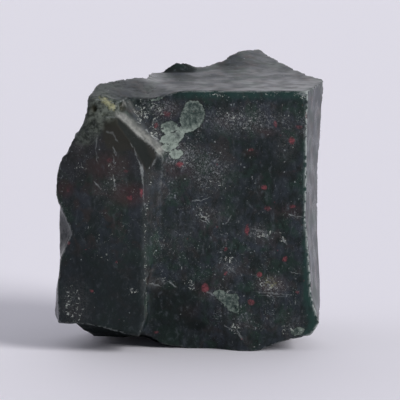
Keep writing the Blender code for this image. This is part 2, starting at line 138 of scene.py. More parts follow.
# Where bright chips are scattered.
FLECKS = (
    (-6.0, 36.6, 3.0, 2.2, 1.0), (-0.5, 30.0, 2.8, 2.2, 0.75), (12.5, 10.4, 3.2, 1.6, 0.85),
    (-17.4, 7.5, 1.8, 3.6, 0.88), (-4.4, 17.0, 1.6, 3.2, 0.65), (11.5, 18.2, 2.4, 1.0, 0.75),
    (9.0, 39.0, 12.0, 0.5, 0.7), (17.3, 38.9, 1.2, 0.8, 1.0), (3.0, 21.5, 3.0, 1.5, 0.6),
    (5.2, 9.0, 2.2, 1.4, 0.7), (-11.0, 26.0, 2.0, 2.8, 0.45), (8.0, 4.6, 3.0, 1.6, 0.5),
    (-5.2, 33.2, 0.9, 2.2, 1.0), (-3.5, 10.6, 3.0, 1.2, 0.6), (14.8, 31.5, 2.0, 2.6, 0.45),
    (16.2, 3.6, 1.6, 1.4, 0.6), (-13.0, 15.5, 5.0, 2.2, 0.4), (6.0, 14.2, 0.9, 0.9, 1.0),
    (2.4, 20.8, 1.2, 1.2, 0.9), (3.5, 25.6, 3.2, 1.2, 0.75), (0.3, 10.2, 1.4, 1.2, 0.9),
    (7.0, 3.6, 1.1, 1.0, 1.0), (15.0, 3.4, 1.2, 1.2, 0.9), (11.5, 5.8, 1.1, 0.8, 0.8),
    (0.1, 6.0, 1.4, 1.1, 0.6), (16.2, 13.0, 0.8, 1.8, 0.6), (7.4, 35.4, 3.6, 2.0, 0.75),
    (14.5, 35.0, 0.9, 1.5, 0.7), (10.9, 18.0, 1.0, 0.6, 1.1), (14.2, 17.3, 0.7, 0.6, 1.2),
    (-8.2, 9.6, 1.2, 0.8, 0.9), (-12.0, 17.5, 3.6, 1.4, 0.55), (-16.0, 28.3, 1.1, 1.2, 0.95),
    (-11.5, 28.6, 0.9, 0.8, 0.95), (-11.2, 26.2, 0.6, 1.3, 0.90),
)  # fmt: skip
# The laminated brownish patch low on the right.
LAMINATED = ((12.5, 10.6, 1.6, 1.0, 1.0),)
# Cloudy patches thick with pale grains.
POWDER = (
    (8.5, 35.0, 7.5, 2.0, 0.70), (3.0, 27.6, 3.6, 3.4, 0.75), (-1.0, 30.0, 3.0, 2.2, 0.95),
    (-3.6, 37.0, 2.8, 1.4, 0.80), (-4.4, 33.6, 1.3, 2.4, 0.70), (14.5, 31.5, 1.6, 2.4, 0.50),
    (-3.0, 26.0, 2.2, 2.6, 0.50), (3.0, 21.0, 3.0, 1.8, 0.50), (10.5, 18.2, 2.4, 1.1, 0.65),
    (6.3, 12.8, 1.5, 1.2, 0.65), (12.6, 10.2, 2.2, 1.3, 0.75), (15.6, 4.0, 1.8, 1.8, 0.55),
    (3.8, 8.6, 1.8, 0.8, 0.60), (7.8, 4.5, 2.2, 1.6, 0.45), (-10.6, 26.5, 1.3, 2.8, 0.50),
    (-13.0, 24.8, 1.2, 0.9, 0.50), (-16.3, 31.4, 0.9, 0.9, 0.60), (-17.0, 7.6, 2.0, 3.4, 0.60),
    (-5.4, 10.6, 1.6, 0.8, 0.55), (-1.0, 18.0, 2.2, 3.0, 0.35),
)  # fmt: skip
# Darker places. The first and the last are painted shade, in the undercut right of the lobe and in the
# hollow at the foot.
DARK = (
    (-2.6, 6.0, 4.6, 4.8, 0.85), (-9.5, 8.0, 3.6, 6.0, 0.35), (12.2, 29.0, 4.5, 4.2, 0.60),
    (9.0, 24.0, 6.0, 3.6, 0.40), (-1.0, 14.0, 4.0, 3.0, 0.30), (16.9, 6.0, 1.5, 3.0, 0.45),
    (-14.5, 13.0, 3.5, 2.5, 0.30), (14.5, 13.0, 2.5, 3.0, 0.30), (0.9, 3.7, 1.8, 0.8, 1.40),
)  # fmt: skip
# Rusty clouds.
RUST = (
    (-11.6, 28.7, 2.4, 1.8, 0.40), (-9.0, 24.3, 2.4, 1.6, 0.60), (-18.4, 25.0, 1.2, 1.2, 0.50),
    (9.3, 30.3, 1.2, 0.6, 0.50), (12.0, 33.4, 1.4, 0.6, 0.40), (-1.2, 27.6, 2.0, 1.2, 0.35),
    (14.8, 21.6, 2.4, 1.0, 0.35), (12.4, 10.4, 1.6, 1.0, 0.40), (2.0, 9.6, 1.4, 1.2, 0.35),
    (-3.0, 36.4, 1.6, 1.0, 0.35), (0.0, 6.0, 1.4, 1.1, 0.40), (12.6, 10.5, 2.0, 1.3, 0.45),
)  # fmt: skip

# ---------------------------------------------------------------- where the masks lie, in millimetres
# The lobe's lower edge, as (X, height): the stone below it is painted dark as painted shade.
LOBE_FOOT = (
    (-19.4, 5.0), (-16.7, 5.0), (-13.4, 4.55), (-7.3, 3.2), (-6.2, 3.0),
)  # fmt: skip
# The rim where the lobe meets the front face, as (height, X).
LOBE_RIM = (
    (-2, -7.4), (3, -7.2), (6, -6.2), (20, -6.4), (25, -5.7), (28.6, -4.9), (29.6, -4.75), (30.4, -5.0),
    (32.2, -7.0), (34.9, -9.5), (38.4, -10.9), (48, -12.0),
)  # fmt: skip
CRUST_MIDDLE = (-12.6, 37.2)  # X and Z, on the lobe's top left corner
CRUST_HALF = (2.3, 2.0)  # half its width and height
RIPPLE_MIDDLE = (-9.0, 36.0)  # X and Z that the lobe's ripples spread from

# Each as where a mask is still 0 and where it is whole and, if there are four numbers, where it is no longer
# whole and where it is 0 again.
RIGHT_OF_RIM = (-0.3, 0.3)
LEFT_OF_RIM = (0.3, -0.3)
NEAR_FRONT_Y = (-12.0, -12.6)
# The slanted band's pale colour is painted light, for the light it catches facing up to the right.
SLANT_DEPTH = (-1.4, -0.5, -0.1, 0.1)  # into the dome's outline: the pale slanted band lies just outside it
SLANT_SIDE = (24.9, 25.4)  # X + Z, so that it lies on the dome's upper right only
SLANT_Y = (-12.6, -13.0)
SLANT_Z = (29.5, 30.6, 36.2, 37.0)
# The left notch is painted pale: partly a fresh break, partly painted light on a facet turned from the key.
NOTCH_FACING = (-0.30, -0.50)  # X of the normals in the broken notch of the left side
NOTCH_BACK = (-13.3, -12.8)
NOTCH_X = (-16.8, -17.3)
NOTCH_Y = (-7.5, -11.0)
NOTCH_Z = (12.5, 16.0, 22.0, 25.0)
# The rim's pale line and chips are partly painted light, lifting the shade along its step.
RIM_Z = (1.5, 4.0, 26, 29)
RIM_MIDDLE = -0.1  # X from LOBE_RIM
RIM_WIDTH = 0.30
# The dome's right flank is painted dark as painted shade.
FLANK_DEPTH = (0.0, 0.3)  # of the dome's right flank, into its outline
FLANK_FACING = (0.18, 0.40)  # X of the normals there
# The stone under the lobe's lower edge is painted dark as painted shade.
UNDER_LOBE = (-0.05, -0.35)  # from the lobe's lower edge
UNDER_X = (-18.4, -17.6, -7.0, -6.0)
SHOULDER_X = (-3.5, -6.0)  # the pale broken shoulder behind the lobe's top
SHOULDER_Y = (14, 11)
SHOULDER_Z = (37.8, 38.8)
CRUST_Y = (-10, -12.5)
OLIVE_DEPTH = (-0.25, 0.3)  # of the olive colour, into the dome's outline
LUMP_X = (-4.4, -3.7, 0.2, 1.5)  # the dark lump on top of the stone
LUMP_Y = (1.1, 1.7)
LUMP_Z = (41.1, 41.5)
# The green band is painted light: the glow of light through the thin translucent edges.
BAND_WIDTH = (2.2, 0.8)  # of the green band along the front's crisp edges
BAND_X = (-3.5, 0.5)
BAND_TOP_Z = (37.6, 39.0)
BAND_RIGHT_X = (16.9, 17.6)
BAND_RIGHT_Z = (34, 31)
DULL_TOP_X = (-6, -1)  # the top is dull to the right of this
DULLEST_TOP_X = (10, 4)  # and dullest to the left of this
RIGHT_EDGE_X = (16.5, 17.3)  # the front's right edge is worn the most
LESS_WORN_X = (-10.5, -8, -4.5, -3.5)  # and edges above the lobe's right half the least
WORN_Y = (-12.0, -12.9)

# ---------------------------------------------------------------- the fine surface
RIDGE = (24, 8.0)  # degrees between the faces at an edge that stays crisp, and the least length of its run
WORN_RIDGE = (34, 10.0)  # the same for an edge that is bruised pale
RIDGE_STEP = 0.08  # between the points that stand for a ridge
ON_RIDGE = 0.13  # how near it a point belongs to a ridge
ON_GROUND = 1e-3  # how low a point rests on the ground
WELD = 1e-7  # how near each other, in metres, the CAD mesh's doubled points lie
REMESH_DEPTH = 8  # the modifier's own settings
REMESH_SCALE = 0.6
FIRST_ROUNDS = 36  # of smoothing over the faces, then along the ridges, then over the faces again
RIDGE_ROUNDS = 3
LAST_ROUNDS = 10
FADE = 0.8  # how fast the finer layers of the relief's noise fade, and how much finer each one is
FINER = 2.1
SEED_STEP = (13.7, 7.3, 3.1)  # how far apart two noises lie

FACING = (0.60, 0.80)  # how far a normal points a certain way, where a face begins to count as facing it
FACING_ON_LOBE = (0.55, 0.75)

CHIP_DEPTH = 0.42  # of the chips along worn ridges, and how far from these they reach
CHIP_REACH = 0.3
CHIP_LEAST = 0.12  # noise below this leaves no chip
NIBBLE_DEPTH = 0.10
NIBBLE_REACH = 0.18
ROUGH_FRONT = 0.012
ROUGH_RIGHT = 0.016
ROUGH_ELSEWHERE = 0.030
RIPPLE_HEIGHT = 0.010
RIPPLE_SPACING = 1.9
RIPPLE_BEND = 2.0  # radians
CRUST_HEIGHT = 0.5
CRUST_LEVEL = 0.25  # noise above this stands up, and below it lies deeper
PIT_DEPTH = 0.35
FLAKE_HEIGHT = 0.06
FLAKE_STEP = (-0.10, 0.25)  # into a flake's outline
FLAKE_COVERS = -0.12  # a flake hides those below it to this far outside its outline
NO_FLAKE = -3.0
AT_GROUND = 0.1  # share of the relief left at the ground, and the height from which all of it is there
WHOLE_FROM = 0.6
WEAR_WIDTH = (0.12, 0.26)  # of the pale bruise along an edge, and how much wider it is at the right edge
WEAR_FADE = (1.0, 0.15)  # shares of that width
WEAR_STRENGTH = (0.45, 0.55, -0.35)  # and what the right edge adds, and the less worn stretch
WEAR_BEHIND = 0.25  # share of it that edges away from the front have


def crease_edges(solid, least_angle, shortest):
    """The CAD solid's long sharp ridges, where one broken face meets another, as pairs of points."""
    sharp = [e for e in solid.edges if e.is_convex and e.calc_face_angle(0) > math.radians(least_angle)]
    group = {}

    def root(v):
        while group.setdefault(v, v) is not v:
            group[v] = group[group[v]]
            v = group[v]
        return v

    for e in sharp:
        group[root(e.verts[0])] = root(e.verts[1])
    lengths = {}
    for e in sharp:
        key = root(e.verts[0])
        lengths[key] = lengths.get(key, 0.0) + e.calc_length()
    long_enough = [e for e in sharp if lengths[root(e.verts[0])] > shortest]
    return [(e.verts[0].co.copy(), e.verts[1].co.copy()) for e in long_enough]


def distance_to(segments, points):
    """How far each point is from the nearest of many points set closely along line segments."""
    along = []
    for a, b in segments:
        count = max(1, math.ceil((b - a).length / RIDGE_STEP))
        along += [a.lerp(b, i / count) for i in range(count + 1)]
    tree = kdtree.KDTree(len(along))
    for i, p in enumerate(along):
        tree.insert(p, i)
    tree.balance()
    return np.array([tree.find(p)[2] for p in points])


def remeshed(source):
    """The CAD solid cut into even small faces with its sharp edges kept, its ridges and its worn ridges."""
    solid = bmesh.new()
    solid.from_mesh(source.data)
    bmesh.ops.remove_doubles(solid, verts=solid.verts, dist=WELD)
    bmesh.ops.scale(solid, vec=(1 / MM,) * 3, verts=solid.verts)
    mesh = bpy.data.meshes.new("stone_coarse")
    solid.to_mesh(mesh)
    holder = bpy.data.objects.new("stone_coarse", mesh)
    bpy.context.scene.collection.objects.link(holder)
    cut = holder.modifiers.new("even", "REMESH")
    cut.mode = "SHARP"
    cut.octree_depth = REMESH_DEPTH
    cut.scale = REMESH_SCALE
    cut.sharpness = 1.0
    cut.use_remove_disconnected = True
    fine = bpy.data.meshes.new_from_object(holder.evaluated_get(bpy.context.evaluated_depsgraph_get()))
    bpy.data.objects.remove(holder)
    ridges = crease_edges(solid, *RIDGE)
    worn_ridges = crease_edges(solid, *WORN_RIDGE)
    solid.free()
    return fine, ridges, worn_ridges


def read(values, key, width, kind=float):
    """One property of a mesh's points or edges, with a row for each."""
    flat = np.empty(len(values) * width, dtype=kind)
    values.foreach_get(key, flat)
    return flat.reshape(-1, width)


def relax(points, edges, free, rounds):
    """Moves each free point halfway to the middle of its neighbours along these edges, round after round."""
    a, b = edges[:, 0], edges[:, 1]
    count = np.bincount(a, minlength=len(points)) + np.bincount(b, minlength=len(points))
    moving = free & (count >= 2)
    for _ in range(rounds):
        for axis in range(3):
            c = points[:, axis]
            total = np.bincount(a, c[b], len(points)) + np.bincount(b, c[a], len(points))
            mean = total[moving] / count[moving]
            points[moving, axis] += 0.5 * (mean - c[moving])


def fractal(points, spacing, seed, octaves=3):
    """Cloudy noise of about -1 to 1 at each point."""
    shift = Vector([seed * step for step in SEED_STEP])
    k = 1 / spacing
    return np.array([noise.fractal(Vector(p) * k + shift, FADE, FINER, octaves) for p in points])


def ease(low, high, t):
    """A smooth step from 0 at low to 1 at high. Low may be above high."""
    s = np.clip((t - low) / (high - low), 0.0, 1.0)
    return s * s * (3 - 2 * s)


def zone(t, start, whole, fades=None, end=None):
    """1 from whole to fades, easing to 0 at the start and the end. Without the last two it goes on."""
    mask = ease(start, whole, t)
    return mask if end is None else mask * ease(end, fades, t)


def depth_inside(x, z, corners):
    """How far inside a many-sided outline each point lies, and below 0 outside it."""
    nearest = np.full(len(x), np.inf)
    inside = np.zeros(len(x), dtype=bool)
    for (x0, z0), (x1, z1) in zip(corners, corners[1:] + corners[:1]):
        run, rise = x1 - x0, z1 - z0
        part = np.clip(((x - x0) * run + (z - z0) * rise) / (run * run + rise * rise), 0, 1)
        nearest = np.minimum(nearest, np.hypot(x - x0 - part * run, z - z0 - part * rise))
        if rise:
            inside ^= ((z0 > z) != (z1 > z)) & (x < x0 + run * (z - z0) / rise)
    return np.where(inside, nearest, -nearest)


def patches(x, z, table, softness):
    """The strongest of several soft ellipses at each point."""
    total = np.zeros(len(x))
    for at_x, at_z, half_width, half_height, strength in table:
        away = np.hypot((x - at_x) / half_width, (z - at_z) / half_height)
        total = np.maximum(total, strength * ease(1 + softness, 1 - softness, away))
    return total


def flake_depth(x, z):
    """How far inside the flakes each point lies. Those later in the list lie over the others."""
    total = np.full(len(x), NO_FLAKE)
    for corners in FLAKES:
        depth = depth_inside(x, z, corners)
        total = np.where(depth > FLAKE_COVERS, depth, np.maximum(total, depth))
    return total


def wear_mask(x, y, to_worn):
    """The pale bruise along worn ridges, by the distance to them."""
    right_edge = zone(x, *RIGHT_EDGE_X)
    usual, at_right, less = WEAR_STRENGTH
    strength = usual + at_right * right_edge + less * zone(x, *LESS_WORN_X)
    strength *= WEAR_BEHIND + (1 - WEAR_BEHIND) * zone(y, *WORN_Y)
    return zone(to_worn / (WEAR_WIDTH[0] + WEAR_WIDTH[1] * right_edge), *WEAR_FADE) * strength


def find_masks(points, normals, to_worn):
    """The masks that follow the shape or steer the relief."""
    x, y, z = points.T
    m = SimpleNamespace()
    from_rim = x - np.interp(z, *zip(*LOBE_RIM))
    m.front = zone(-normals[:, 1], *FACING) * zone(from_rim, *RIGHT_OF_RIM)
    m.lobe = zone(-normals[:, 1], *FACING_ON_LOBE) * zone(from_rim, *LEFT_OF_RIM)
    m.top = zone(normals[:, 2], *FACING)
    m.right = zone(normals[:, 0], *FACING)
    m.flat_front = np.maximum(m.front, m.lobe)
    m.near_front = zone(y, *NEAR_FRONT_Y)

    m.in_dome = depth_inside(x, z, DOME)
    # Painted light on the slanted band.
    m.slant = zone(m.in_dome, *SLANT_DEPTH) * zone(x + z, *SLANT_SIDE)
    m.slant *= zone(y, *SLANT_Y) * zone(z, *SLANT_Z)
    # Painted light on the left notch, partly the pale of its break.
    m.notch = np.maximum(zone(normals[:, 0], *NOTCH_FACING), zone(y, *NOTCH_BACK))
    m.notch *= zone(x, *NOTCH_X) * zone(z, *NOTCH_Z) * zone(y, *NOTCH_Y)
    # Painted light along the rim, partly its pale wisps.
    m.rim = np.exp(-(((from_rim - RIM_MIDDLE) / RIM_WIDTH) ** 2)) * zone(z, *RIM_Z) * m.near_front
    # Painted shade on the dome's right flank.
    m.flank = zone(m.in_dome, *FLANK_DEPTH) * zone(normals[:, 0], *FLANK_FACING) * m.near_front
    # Painted shade under the lobe.
    m.under = zone(z - np.interp(x, *zip(*LOBE_FOOT)), *UNDER_LOBE) * zone(x, *UNDER_X)
    m.shoulder = zone(x, *SHOULDER_X) * zone(z, *SHOULDER_Z) * zone(y, *SHOULDER_Y) * (1 - m.flat_front)

    u, v = (x - CRUST_MIDDLE[0]) / CRUST_HALF[0], (z - CRUST_MIDDLE[1]) / CRUST_HALF[1]
    m.crust = np.exp(-((u**2 + v**2) ** 2)) * zone(y, *CRUST_Y)
    m.lumps = patches(x, z, LUMPY, softness=0.5) * m.near_front
    m.pits = patches(x, z, PITS, softness=0.5) * m.near_front
    m.flake = flake_depth(x, z) + NO_FLAKE * (1 - m.flat_front)
    m.wear = wear_mask(x, y, to_worn)
    return m


def relief(points, to_worn, m):
    """How far each point is raised along its normal."""
    x, _, z = points.T
    chips = np.clip(fractal(points, 1.0, seed=3) - CHIP_LEAST, 0, None)
    chips *= np.exp(-to_worn / CHIP_REACH) * CHIP_DEPTH
    nibble = np.abs(fractal(points, 0.55, seed=4, octaves=2))
    nibble *= np.exp(-to_worn / NIBBLE_REACH) * NIBBLE_DEPTH
    height = ROUGH_FRONT * m.front + ROUGH_RIGHT * m.right + ROUGH_ELSEWHERE * (1 - m.front) * (1 - m.right)
    rough = fractal(points, 1.3, seed=5, octaves=4) * height
    away = np.hypot(x - RIPPLE_MIDDLE[0], z - RIPPLE_MIDDLE[1])
    bend = RIPPLE_BEND * fractal(points, 7, seed=6, octaves=2)
    ripples = np.sin(away * 2 * math.pi / RIPPLE_SPACING + bend) * RIPPLE_HEIGHT * m.lobe
    crust = (np.abs(fractal(points, 0.9, seed=7)) - CRUST_LEVEL) * CRUST_HEIGHT
    crust *= np.maximum(m.crust, m.lumps)
    steps = zone(m.flake, *FLAKE_STEP) * FLAKE_HEIGHT
    raised = rough + ripples + crust - PIT_DEPTH * m.pits + steps - chips - nibble
    return raised * (AT_GROUND + (1 - AT_GROUND) * ease(0.0, WHOLE_FROM, z))


def material_masks(points, to_worn, m):
    """What the material reads at each point of the finished surface, by attribute name.

    The factors are how strongly each of the things that share a mask shows.
    """
    x, y, z = points.T
    # The green band along the edges is painted light, for light through the thin edges.
    band = np.maximum(zone(z, *BAND_TOP_Z), zone(x, *BAND_RIGHT_X) * zone(z, *BAND_RIGHT_Z))
    band *= zone(to_worn, *BAND_WIDTH) * zone(x, *BAND_X)
    lump = zone(x, *LUMP_X) * zone(y, *LUMP_Y) * zone(z, *LUMP_Z)
    streak = np.clip(depth_inside(x, z, YELLOW) + 0.5, 0, 1)
    dark = patches(x, z, DARK, softness=0.6) * m.flat_front
    return {
        "wear": m.wear,
        "front": m.front,
        "lobe": m.lobe,
        "crusty": np.maximum(m.crust, 0.8 * m.lumps),
        "slant": m.slant,
        "olive": zone(m.in_dome, *OLIVE_DEPTH) * m.near_front,
        "pits": m.pits,
        # Painted light on the notch and the rim, here and in the flecks, partly the pale of breaks and
        # wisps.
        "pale": np.maximum.reduce((m.notch, 0.35 * m.shoulder, 0.08 * m.rim)),
        # Painted shade under the lobe, on the dome's flank, in the undercut and the hollow, with the darker
        # places and the lump.
        "dark": np.maximum.reduce((dark, 1.3 * lump, 1.2 * m.under, 0.9 * m.flank)),
        "flecks": np.maximum(patches(x, z, FLECKS, softness=0.6) * m.flat_front, 0.9 * m.rim),
        "dim": m.top * zone(x, *DULL_TOP_X) * (0.3 + zone(x, *DULLEST_TOP_X)),
        "grit": 1 - 0.8 * np.maximum(m.top, m.right),
        "powder": patches(x, z, POWDER, softness=0.7) * m.flat_front,
        "rust": patches(x, z, RUST, softness=0.6) * m.flat_front,
        "band": band * m.front,
        "flake": m.flake,
        "yellow": np.maximum(streak, 0.5 * patches(x, z, LAMINATED, softness=0.4)) * m.near_front,
    }


def build_surface(source):
    """The stone's fine mesh: facets softened, ridges crisp, relief and masks added."""
    mesh, ridges, worn_ridges = remeshed(source)
    points = read(mesh.vertices, "co", 3)
    edges = read(mesh.edges, "vertices", 2, np.int64)
    on_ridge = distance_to(ridges, points) < ON_RIDGE
    on_worn = distance_to(worn_ridges, points) < ON_RIDGE
    resting = points[:, 2] < ON_GROUND
    relax(points, edges, ~on_ridge & ~resting, FIRST_ROUNDS)
    relax(points, edges[on_ridge[edges].all(axis=1)], on_ridge & ~resting, RIDGE_ROUNDS)
    relax(points, edges, ~on_ridge & ~resting, LAST_ROUNDS)
    mesh.vertices.foreach_set("co", points.ravel())
    mesh.update()
    normals = read(mesh.vertex_normals, "vector", 3)
    worn_edges = edges[on_worn[edges].all(axis=1)]
    to_worn = distance_to([(Vector(points[i]), Vector(points[j])) for i, j in worn_edges], points)

    masks = find_masks(points, normals, to_worn)
    raised = relief(points, to_worn, masks)
    raised[resting] = 0
    points += normals * raised[:, None]
    for name, values in material_masks(points, to_worn, masks).items():
        attribute = mesh.attributes.new(name, "FLOAT", "POINT")
        attribute.data.foreach_set("value", values.astype(np.float32))
    mesh.vertices.foreach_set("co", (points * MM).ravel())
    mesh.update()
    mesh.shade_smooth()
    return mesh


# ---------------------------------------------------------------- material helpers
MARK_SOFTNESS = 0.6  # of the outlines of spots and strokes


class Nodes:
    """A node tree, built from plain calls. Sockets and plain numbers can be mixed as arguments."""

    def __init__(self, tree):
        self.tree = tree

    def put(self, socket, value):
        if isinstance(value, bpy.types.NodeSocket):
            self.tree.links.new(value, socket)
        elif isinstance(value, (tuple, list)) and len(value) == 3 and socket.type == "RGBA":
            socket.default_value = (*value, 1)
        else:
            socket.default_value = value

    def math(self, operation, a, b=0.0, c=0.0):
        node = self.tree.nodes.new("ShaderNodeMath")
        node.operation = operation
        for socket, value in zip(node.inputs, (a, b, c)):
            self.put(socket, value)
        return node.outputs[0]

    def joined(self, operation, values):
        total = values[0]
        for v in values[1:]:
            total = self.math(operation, total, v)
        return total

    def add(self, *values):
        return self.joined("ADD", values)

    def times(self, *values):
        return self.joined("MULTIPLY", values)

    def most(self, *values):
        return self.joined("MAXIMUM", values)

    def flip(self, a):
        return self.math("SUBTRACT", 1.0, a)

    def line(self, value, slope, start):
        """value * slope + start"""
        return self.math("MULTIPLY_ADD", value, slope, start)

    def vector_math(self, operation, a, b):
        node = self.tree.nodes.new("ShaderNodeVectorMath")
        node.operation = operation
        self.put(node.inputs[0], a)
        self.put(node.inputs["Scale" if operation == "SCALE" else 1], b)
        return node.outputs["Vector"]

    def shifted(self, place, offset):
        return self.vector_math("ADD", place, offset)

    def ramp(self, value, low, high, out_low=0.0, out_high=1.0):
        """A smooth step from out_low at low to out_high at high. Low may be above high."""
        node = self.tree.nodes.new("ShaderNodeMapRange")
        node.interpolation_type = "SMOOTHSTEP"
        for socket, v in zip(node.inputs, (value, low, high, out_low, out_high)):
            self.put(socket, v)
        return node.outputs[0]

    def mix(self, share, a, b):
        """Colour a, going to colour b as share goes to 1."""
        node = self.tree.nodes.new("ShaderNodeMix")
        node.data_type = "RGBA"
        self.put(node.inputs[0], share)
        self.put(node.inputs[6], a)
        self.put(node.inputs[7], b)
        return node.outputs[2]

    def noise_node(self, place, spacing, detail, roughness=0.5, distortion=0.0):
        node = self.tree.nodes.new("ShaderNodeTexNoise")
        values = (place, 1 / spacing, detail, roughness, distortion)
        for key, v in zip(("Vector", "Scale", "Detail", "Roughness", "Distortion"), values):
            self.put(node.inputs[key], v)
        return node

    def noise(self, *settings):
        """Cloudy noise of about 0 to 1, by its place, spacing, detail, roughness and distortion."""
        return self.noise_node(*settings).outputs[0]

    def split(self, vector):
        node = self.tree.nodes.new("ShaderNodeSeparateXYZ")
        self.put(node.inputs[0], vector)
        return node.outputs

    def split_colour(self, colour):
        node = self.tree.nodes.new("ShaderNodeSeparateColor")
        self.put(node.inputs[0], colour)
        return node.outputs

    def field(self, name):
        node = self.tree.nodes.new("ShaderNodeAttribute")
        node.attribute_name = name
        return node.outputs["Fac"]

    def warped(self, place, amount, spacing):
        """The place moved about by noise, so that what is drawn there gets a ragged outline."""
        cloud = self.split_colour(self.noise_node(place, spacing, 2.0).outputs["Color"])
        moved = self.tree.nodes.new("ShaderNodeCombineXYZ")
        for socket, value in zip(moved.inputs, cloud):
            self.put(socket, value)
        centred = self.vector_math("SUBTRACT", moved.outputs[0], (0.5,) * 3)
        return self.vector_math("ADD", place, self.vector_math("SCALE", centred, amount * 2))

    def mark(self, x, z, at, half, strength, turn=0.0):
        """About strength inside an ellipse seen from the front, and below 0 well outside it."""
        c, s = math.cos(math.radians(turn)), math.sin(math.radians(turn))
        (w, h), (mx, mz) = half, at
        u = self.line(x, c / w, self.line(z, s / w, -(c * mx + s * mz) / w))
        v = self.line(x, -s / h, self.line(z, c / h, (s * mx - c * mz) / h))
        away = self.line(u, u, self.times(v, v))
        slope = strength / (2 * MARK_SOFTNESS)
        return self.math("MINIMUM", self.line(away, -slope, strength * 0.5 + slope), strength)

    def stroke(self, x, z, start, end, radius, strength):
        """A thin ellipse from one point to another."""
        run, rise = end[0] - start[0], end[1] - start[1]
        middle = ((start[0] + end[0]) / 2, (start[1] + end[1]) / 2)
        half = (math.hypot(run, rise) / 2 + radius, radius)
        return self.mark(x, z, middle, half, strength, math.degrees(math.atan2(rise, run)))

    def specks(self, place, spacing, small, large, density):
        """(mask, brightness) of grains in random places, sized from small to large as parts of spacing."""
        node = self.tree.nodes.new("ShaderNodeTexVoronoi")
        self.put(node.inputs["Vector"], place)
        self.put(node.inputs["Scale"], 1 / spacing)
        red, green, blue, *_ = self.split_colour(node.outputs["Color"])
        size = self.add(small, self.times(red, red, large - small))
        on = self.math("LESS_THAN", green, density)
        mask = self.times(on, self.ramp(node.outputs["Distance"], size, self.times(size, 0.55)))
        return mask, blue


def new_material(name):
    """(the material, its nodes, the inputs of its shader)"""
    material = bpy.data.materials.new(name)
    material.use_nodes = True
    return material, Nodes(material.node_tree), material.node_tree.nodes["Principled BSDF"].inputs


# ---------------------------------------------------------------- the stone's colours
# A pair of colours is mixed by a noise, from the first to the second.
BODY = ((0.0085, 0.0158, 0.0155), (0.0215, 0.0290, 0.0390))  # deep green and blue-grey
BROWN_CLOUD = (0.0310, 0.0235, 0.0220)
GREEN_CLOUD = (0.0110, 0.0300, 0.0215)
UPPER_LOBE = (0.0210, 0.0180, 0.0160)
LOWER_LOBE = (0.0065, 0.0120, 0.0140)
RUSTY = (0.0600, 0.0210, 0.0220)
OLIVE = (0.0215, 0.0212, 0.0150)
# Painted shade, and the darker places and the lump.
DARK_TONE_AND_PAINTED_SHADE = (0.0055, 0.0100, 0.0100)
# Pale breaks, and painted light on the left notch and the lobe's rim.
PALE_BREAK_AND_PAINTED_LIGHT = ((0.095, 0.100, 0.104), (0.185, 0.190, 0.190))
# Painted light: the green glow of light through thin edges.
PAINTED_EDGE_GLOW = (0.0120, 0.0440, 0.0370)
DARK_MOTTLE = (0.0040, 0.0075, 0.0072)
PALE_MOTTLE = (0.0680, 0.0800, 0.0900)
GRAIN = ((0.40, 0.38, 0.36), (0.30, 0.38, 0.41))
DUSTY = (0.110, 0.108, 0.113)
STROKE = (0.34, 0.37, 0.37)
FLAKE = ((0.028, 0.048, 0.043), (0.380, 0.450, 0.390))
# Painted shadow round each flake.
FLAKE_PAINTED_SHADOW = (0.0060, 0.0100, 0.0100)
BRIGHT_CHIP = (0.46, 0.49, 0.45)
JASPER = ((0.055, 0.014, 0.020), (0.240, 0.060, 0.072))
# Painted light on the slanted band.
SLANT_PAINTED_LIGHT = ((0.150, 0.156, 0.148), (0.290, 0.296, 0.274))
CRUSTY = ((0.020, 0.026, 0.020), (0.150, 0.172, 0.146))
YELLOWISH = ((0.120, 0.124, 0.064), (0.400, 0.400, 0.240))
PIT = (0.016, 0.016, 0.006)
BRUISED = (0.38, 0.42, 0.41)

# ---------------------------------------------------------------- the stone's noises, in millimetres
# Each as its spacing, detail and, where they aren't plain, its roughness and distortion.
BODY_CLOUDS = (2.2, 5.0, 0.66, 0.3)
BROWN_CLOUDS = (2.6, 4.0, 0.62, 0.6)
GREEN_CLOUDS = (3.6, 4.0, 0.6)
BAND_CLOUDS = (1.6, 3.0, 0.6)
MOTTLE = (0.75, 4.0, 0.7, 0.5)
GRAINY_PATCHES = (2.6, 4.0, 0.65)
STIPPLE = (0.27, 4.0, 0.8, 0.7)
GRAIN_HUES = (1.5, 2.0)
STROKE_BREAKS = (0.5, 2.0)
SCALLOPS = (0.45, 4.0, 0.7)
FEATHERS = (0.62, 6.0, 0.80)
CHIPS = (0.50, 4.0, 0.75, 0.9)
RED_HUES = (0.30, 3.0, 0.7)
BAND_STREAKS = (0.8, 4.0, 0.65)
CRUST_BUMPS = (0.8, 5.0, 0.65)
WEAR_BREAKS = (0.7, 3.0, 0.6)
GLOSS_CLOUDS = (2.6, 2.0)
FINE_GRIT = (0.25, 4.0, 0.6)
COARSE_GRIT = (1.1, 4.0, 0.6)
# Specks, each as their spacing, and the smallest and the largest as parts of it.
ROUND_GRAINS = (0.40, 0.10, 0.40)
LONG_GRAINS = (0.40, 0.06, 0.26)
RED_SPECKS = (3.4, 0.05, 0.16)
SMALL_RED_SPECKS = (1.9, 0.05, 0.13)
# Warps, each as how far they move a place, and their spacing.
RAGGED = (0.30, 0.50)
GRAIN_WARP = (0.16, 0.24)
RED_WARP = (0.4, 0.8)
SMALL_RED_WARP = (0.15, 0.3)
# Shifts of the place, so that one noise doesn't follow another.
BROWN_SHIFT = (40, 11, 5)
GREEN_SHIFT = (7, 31, 90)
PATCHY_SHIFT = (3, 77, 21)
GRAIN_SHIFT = (1, 2, 3)
CHIP_SHIFT = (9, 9, 9)
RED_SHIFT = (0, 50, 0)
SMALL_RED_SHIFT = (5, 0, 60)

